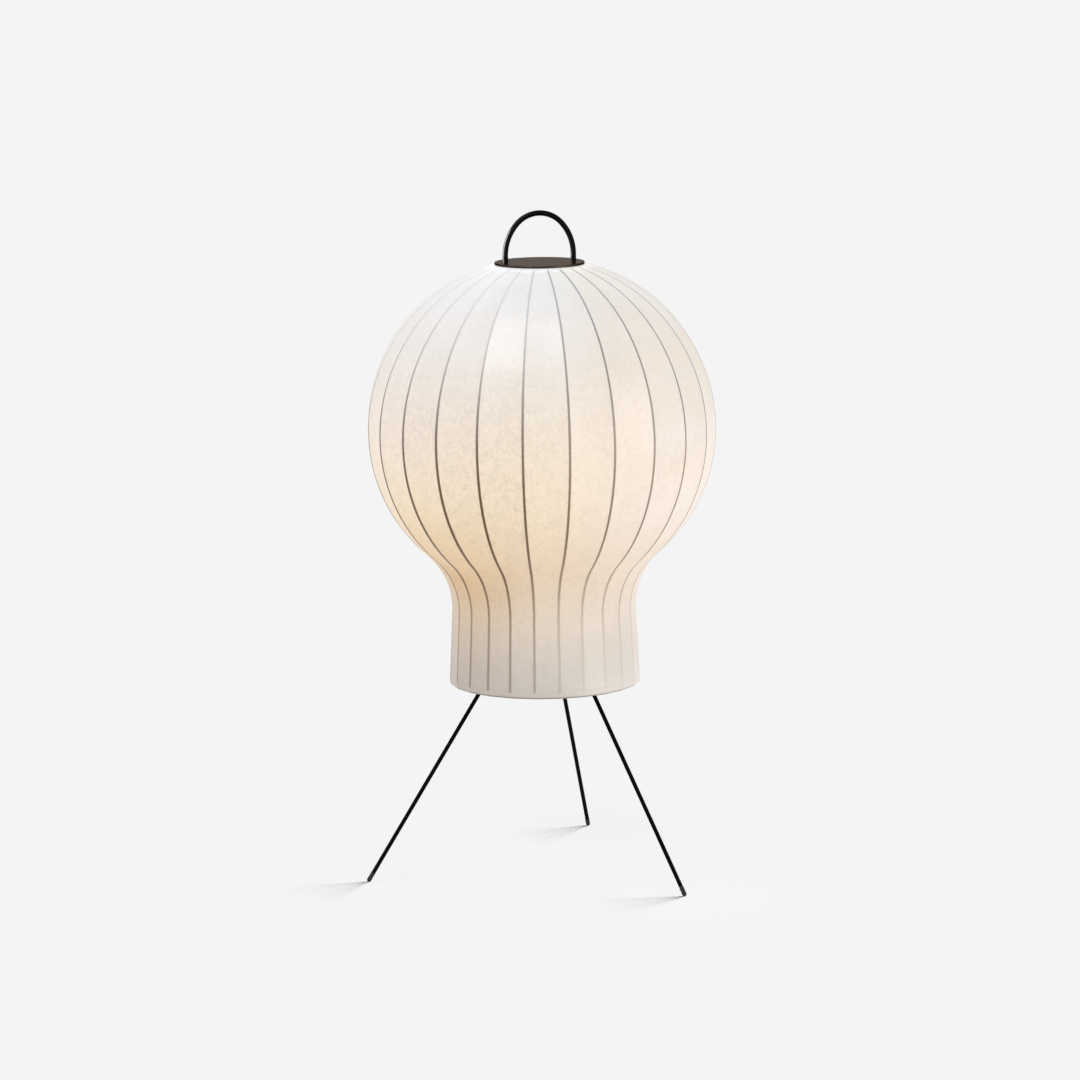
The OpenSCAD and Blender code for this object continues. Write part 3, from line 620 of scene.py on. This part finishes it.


# The wires inside show as painted shadow lines that end below the doubled band and above
# the hem. The painted shadows are darkest where the bulb shines through, and fainter on
# the lamp's right, where more outside light falls. Round the shoulder on the left they
# are drawn wider. In the crown they are narrow. side_turn is -1 at the lamp's left and 1 at its right
right_x, right_y = 0.96, -0.28
towards = plus(tree, times(tree, parts["X"], right_x), times(tree, parts["Y"], right_y))
side_turn = sums(tree, "DIVIDE", towards, out)
# Painted shadow: the wire shadows are drawn wider round the left shoulder
wider_left_shadow = share_by_height(tree, height, (0.41, 0.0), (0.47, 0.9), (0.53, 1.0), (0.60, 0.5), (0.74, 0.2))
wider_left_shadow = times(tree, wider_left_shadow, ramp(tree, side_turn, -0.9, -0.15, 1.0, 0.0), 0.0015)
wander = times(tree, minus(tree, grain(tree, place, 160, 2), 0.5), 0.0005)
narrow = ramp(tree, height, 0.66, 0.80, 0.0, 0.0005)
from_edge = minus(tree, plus(tree, from_rib, wander, narrow), wider_left_shadow)
line = ramp(tree, from_edge, 0.0012, 0.0024, 1.0, 0.0)
# The reach of a faint painted shade beside each wire
beside_wire_shade = ramp(tree, from_rib, 0.001, 0.007, 1.0, 0.0)
ends = times(tree, ramp(tree, height, 0.2865, 0.2895), ramp(tree, height, 0.8872, 0.8888, 1.0, 0.0))
# How dark the painted wire shadows are at each height, on the lamp's left and on its right
left_shadow_strength = share_by_height(
    tree, height, (0.29, 0.55), (0.40, 0.60), (0.46, 1.0), (0.55, 1.0), (0.66, 1.0),
    (0.75, 0.66), (0.86, 0.15),
)
right_shadow_strength = share_by_height(
    tree, height, (0.29, 0.08), (0.40, 0.22), (0.50, 0.98), (0.64, 0.66), (0.74, 0.88), (0.86, 0.95),
)
shows = blend_colours(tree, ramp(tree, side_turn, -0.4, 0.4), left_shadow_strength, right_shadow_strength)
line = times(tree, line, ends, shows)
# The colour of the painted wire shadows: brown low down, grey higher up and bluish in the crown
wire_shadow_low, wire_shadow_high, wire_shadow_crown = (0.19, 0.078, 0.004, 1), (0.21, 0.19, 0.195, 1), (0.32, 0.32, 0.39, 1)
wire_shadow_colour = blend_colours(tree, ramp(tree, height, 0.56, 0.80), wire_shadow_low, wire_shadow_high)
wire_shadow_colour = blend_colours(tree, ramp(tree, height, 0.79, 0.87), wire_shadow_colour, wire_shadow_crown)

# The colour of the cloth, the doubled band and the hem, with the painted shadows of the wires
texture = times(tree, ramp(tree, lumps, 0.3, 0.7), 0.22)
texture = plus(tree, texture, times(tree, ramp(tree, mottle, 0.3, 0.7), 0.38))
texture = plus(tree, texture, times(tree, ramp(tree, speckle, 0.35, 0.65), 0.40))
cream = blend_colours(tree, ramp(tree, clouds, 0.3, 0.7), (0.60, 0.58, 0.54, 1), (0.635, 0.62, 0.59, 1))
cream = scaled(tree, cream, plus(tree, times(tree, texture, 0.10), 0.95))
cream = blend_colours(tree, times(tree, ramp(tree, drawn, 0.45, 0.75), 0.25), cream, (0.58, 0.56, 0.535, 1))
cream = blend_colours(tree, times(tree, hairs, 0.30), cream, (0.72, 0.70, 0.67, 1))
doubled = ramp(tree, height, 0.8840, 0.8880)
hem_band = ramp(tree, height, 0.2865, 0.2885, 1.0, 0.0)
double_cloth = sums(tree, "MAXIMUM", doubled, times(tree, hem_band, 0.15))
cream = blend_colours(tree, double_cloth, cream, (0.80, 0.785, 0.765, 1))
# A faint painted shade beside each wire
cream = blend_colours(tree, times(tree, beside_wire_shade, times(tree, ends, 0.08)), cream, (0.42, 0.38, 0.34, 1))
cream = blend_colours(tree, line, cream, wire_shadow_colour)
# Painted shade: the cloth and its glow are darker and yellower where the shoulder turns into the neck at
# the far left
shade_tint_brown = (0.91, 0.88, 0.78, 1)
left_shoulder_shade = times(tree, ramp(tree, height, 0.425, 0.448), ramp(tree, height, 0.462, 0.485, 1.0, 0.0))
left_shoulder_shade = times(tree, left_shoulder_shade, ramp(tree, side_turn, -0.88, -0.66, 1.0, 0.0))
cream = blend_colours(tree, left_shoulder_shade, cream, shade_tint_brown, "MULTIPLY")
# Painted shadow of the bottom ring inside the hem: a dark line that also takes away the glow
rim = ramp(tree, height, 0.2798, 0.2822, 1.0, 0.0)
cream = blend_colours(tree, times(tree, rim, 0.9), cream, (0.28, 0.24, 0.21, 1))
feed(tree, shader, "Base Color", cream)

# The bulb's light through the silk, painted into its emission: strongest from the shoulder to the balloon's
# middle. In the crown it also stands in for daylight on the silk
glow = by_height(tree, height, [
    (0.28, (0.20, 0.155, 0.12)), (0.35, (0.36, 0.29, 0.23)), (0.43, (0.54, 0.38, 0.23)),
    (0.50, (0.63, 0.45, 0.27)), (0.58, (0.66, 0.52, 0.34)), (0.67, (0.53, 0.40, 0.27)),
    (0.76, (0.36, 0.30, 0.25)), (0.83, (0.27, 0.25, 0.26)), (0.87, (0.24, 0.24, 0.26)),
    (0.89, (0.33, 0.33, 0.34)),
])
# Painted light: the glow is tinted by side and height for how the outside light falls,
# warmer and darker low on the left, brighter in the crown on the left and bluer on the
# right. A painted highlight stands out high on the far right
painted_left_light = by_height(tree, height, [
    (0.30, (0.77, 0.65, 0.55)), (0.38, (0.82, 0.70, 0.53)), (0.44, (0.84, 0.58, 0.04)),
    (0.49, (1.0, 0.86, 0.52)), (0.54, (1.0, 0.95, 0.82)), (0.60, (1.01, 1.02, 1.04)),
    (0.66, (1.06, 1.07, 1.26)), (0.74, (1.06, 1.12, 1.24)), (0.80, (1.15, 1.18, 1.2)),
    (0.86, (1.25, 1.25, 1.3)),
])
painted_right_light = by_height(tree, height, [
    (0.285, (1.8, 1.95, 2.1)), (0.315, (1.2, 1.25, 1.25)), (0.35, (1.0, 1.0, 1.0)),
    (0.40, (1.0, 1.02, 1.12)), (0.48, (0.96, 1.0, 1.12)), (0.54, (0.99, 1.06, 1.45)),
    (0.60, (0.98, 1.0, 1.18)), (0.66, (0.95, 0.93, 1.0)), (0.74, (0.92, 0.80, 0.60)),
    (0.86, (1.0, 0.88, 0.70)),
])
glow = blend_colours(tree, ramp(tree, side_turn, -0.95, 0.0, 1.0, 0.0), glow, painted_left_light, "MULTIPLY")
glow = blend_colours(tree, ramp(tree, side_turn, 0.0, 0.7), glow, painted_right_light, "MULTIPLY")
glow = blend_colours(tree, left_shoulder_shade, glow, shade_tint_brown, "MULTIPLY")
# A painted highlight high on the far right, where the light from the right is reflected
painted_right_highlight = times(tree, ramp(tree, height, 0.61, 0.67), ramp(tree, height, 0.74, 0.775, 1.0, 0.0))
painted_right_highlight = times(tree, painted_right_highlight, ramp(tree, side_turn, 0.52, 0.72))
glow = blend_colours(tree, painted_right_highlight, glow, (1.02, 1.12, 1.3, 1), "MULTIPLY")
# The cloth's lumps show most in the painted glow on the left and round the bulb. The painted
# shadows of the wires and of the bottom ring take nearly all of that glow away
contrast = times(tree, ramp(tree, side_turn, -0.4, 0.6, 0.6, 0.3), ramp(tree, height, 0.36, 0.46, 0.4, 1.0))
contrast = times(tree, contrast, ramp(tree, height, 0.69, 0.79, 1.0, 0.4))
uneven = plus(tree, times(tree, minus(tree, texture, 0.5), contrast), times(tree, clouds, 0.12))
uneven = minus(tree, plus(tree, uneven, 0.885), times(tree, hairs, 0.08))
hidden = sums(tree, "MAXIMUM", times(tree, line, 0.97), times(tree, rim, 0.85))
bright = times(tree, uneven, minus(tree, 1.0, hidden))
feed(tree, shader, "Emission Color", blend_colours(tree, bright, (0, 0, 0, 1), glow))
shader.inputs["Emission Strength"].default_value = 1.0

feed(tree, shader, "Roughness", plus(tree, times(tree, lumps, 0.2), 0.38))
shader.inputs["Coat Weight"].default_value = 0.52
shader.inputs["Coat Roughness"].default_value = 0.26
shader.inputs["Sheen Weight"].default_value = 0.1
shader.inputs["Sheen Roughness"].default_value = 0.4
cloth_height = plus(tree, times(tree, lumps, 0.6), times(tree, mottle, 0.3))
cloth_height = plus(tree, cloth_height, times(tree, hairs, 0.35))
bumps(tree, shader, cloth_height, 0.0003, 0.4)
silk.data.materials.append(spun_silk)
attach(silk, "lamp")
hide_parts("silk_cover")


# The top plate. A 3 mm steel disc with chamfered edges in satin dark bronze paint
# closes the lantern and holds the silk's edge down on the top ring. Fine marks of
# the roller run through the paint, and its rim is darker.
bronze, tree, shader, place = finish_like("dark bronze paint")
parts = put(tree, "SeparateXYZ", Vector=place).outputs
rolled = grain(tree, place, 420, 3, 0.5, stretch=(0.05, 1, 1))
cloud = grain(tree, place, 40, 4, 0.6)
rim = ramp(tree, plus(tree, from_axis(tree, parts), times(tree, cloud, 0.003)), 0.0652, 0.0664)
hollow_bronze, ridge_bronze = (0.086, 0.067, 0.054, 1), (0.104, 0.082, 0.067, 1)
cloud_bronze, rim_bronze = (0.115, 0.094, 0.080, 1), (0.016, 0.012, 0.010, 1)
paint = blend_colours(tree, ramp(tree, rolled, 0.3, 0.75), hollow_bronze, ridge_bronze)
paint = blend_colours(tree, times(tree, ramp(tree, cloud, 0.5, 0.75), 0.4), paint, cloud_bronze)
feed(tree, shader, "Base Color", blend_colours(tree, times(tree, rim, 0.55), paint, rim_bronze))
shader.inputs["Metallic"].default_value = 0.9
shader.inputs["Specular IOR Level"].default_value = 0.04
shader.inputs["Specular Tint"].default_value = (0.24, 0.18, 0.135, 1)
feed(tree, shader, "Roughness", plus(tree, times(tree, rolled, 0.16), 0.2))
fine = bumps(tree, shader, rolled, 0.00003, 0.6)
bumps(tree, shader, grain(tree, place, 1300, 2), 0.00003, 0.4, fine)
dress(bronze, "top_plate")


# The handle. One 8 mm steel rod bent to a high arch, with 6 mm threaded ends
# that pass through the plate and the top ring and are held by washers and nuts
# inside the lantern. It has the same black coat as the legs, rubbed by the hand.
handle_black, handle_rubbed = (0.0018, 0.0014, 0.0014, 1), (0.010, 0.008, 0.0075, 1)
handle_coat = powder_coat("handle powder coat", handle_black, handle_rubbed, roughness=0.24, gloss=0.05)
dress(handle_coat, "handle")
dress(zinc, "handle_washers", "handle_nuts")
